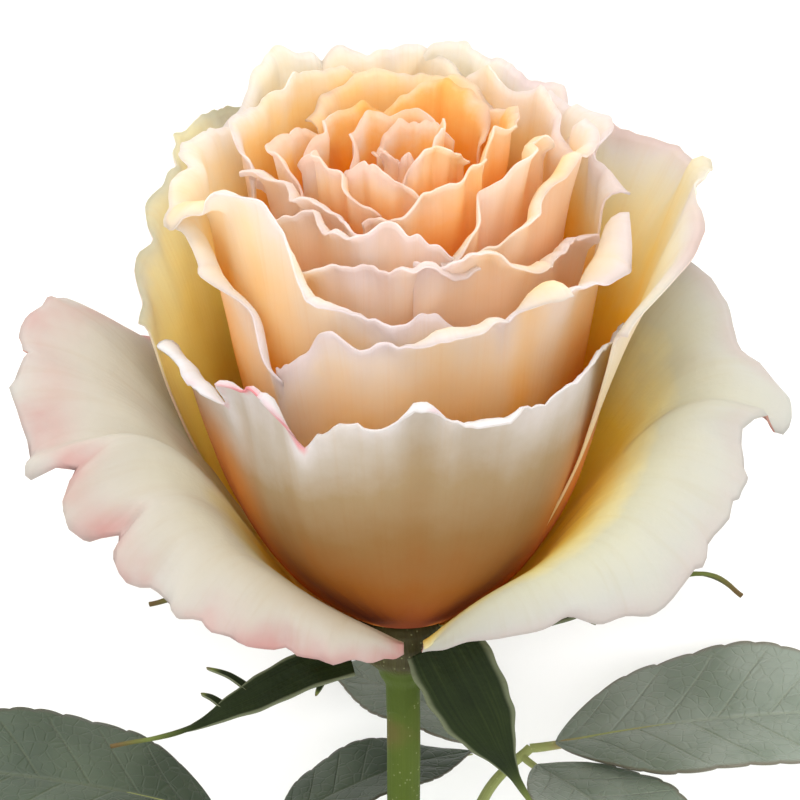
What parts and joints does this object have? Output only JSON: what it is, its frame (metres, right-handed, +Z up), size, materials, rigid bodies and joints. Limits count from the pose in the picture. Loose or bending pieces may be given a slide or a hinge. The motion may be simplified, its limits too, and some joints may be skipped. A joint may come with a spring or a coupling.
{
  "type": "cut rose",
  "caption": "Cut garden rose lying on its back: an open, many-petalled bloom with reflexed guard petals on a prickly stem with three compound leaves.",
  "frame": {"origin": "centre of the bounding box's bottom, on the surface that the rose lies on", "axes": "+Y runs from the cut end of the stem to the heart of the bloom, +Z is up, away from the surface, and +X is to the right when the bloom is seen from above with its heart at the top"},
  "size_m": [0.1588, 0.343, 0.0685],
  "materials": {
    "guard_petal": "velvety ivory with a green-yellow cast and pink edges",
    "cup_petal": "velvety peach, paler at the rims",
    "heart_petal": "velvety apricot, deep orange low down",
    "sepal": "dark green, pale edges",
    "leaf": "grey-green, satin, with sunken veins",
    "stem": "smooth green, a little waxy"
  },
  "bodies": {
    "root": {"petal_guard_left": "guard_petal", "petal_guard_right": "guard_petal", "petal_guard_back_left": "guard_petal", "petal_guard_back_right": "guard_petal", "petal_cup_front": "cup_petal", "petal_cup_left": "cup_petal", "petal_cup_right": "cup_petal", "petal_cup_back_left": "cup_petal", "petal_cup_back_right": "cup_petal", "petal_mid_left": "cup_petal", "petal_mid_back_right": "cup_petal", "petal_mid_back": "cup_petal", "petal_mid_front_right": "cup_petal", "petal_mid_front_left": "cup_petal", "petal_inner_front_right": "heart_petal", "petal_inner_right": "heart_petal", "petal_inner_front": "heart_petal", "petal_inner_back_left": "heart_petal", "petal_inner_back_right": "heart_petal", "petal_inner_back": "heart_petal", "petal_inner_mid_front": "heart_petal", "petal_inner_left": "heart_petal", "petal_inner_mid_right": "heart_petal", "petal_heart_left": "heart_petal", "petal_heart_front_right": "heart_petal", "petal_heart_front_left": "heart_petal", "petal_heart_right": "heart_petal", "petal_heart_back_left": "heart_petal", "petal_heart_back": "heart_petal", "petal_whorl_front_left": "heart_petal", "petal_whorl_front_right": "heart_petal", "petal_whorl_back": "heart_petal", "petal_core_outer": "heart_petal", "petal_core_inner": "heart_petal", "stem": "stem", "sepal_front_right": "sepal", "sepal_front_left": "sepal", "sepal_right": "sepal", "sepal_back_left": "sepal", "sepal_back": "sepal", "leaf_upper_right": "leaf", "leaf_upper_left": "leaf", "leaf_lower_right": "leaf"}
  },
  "joints": []
}
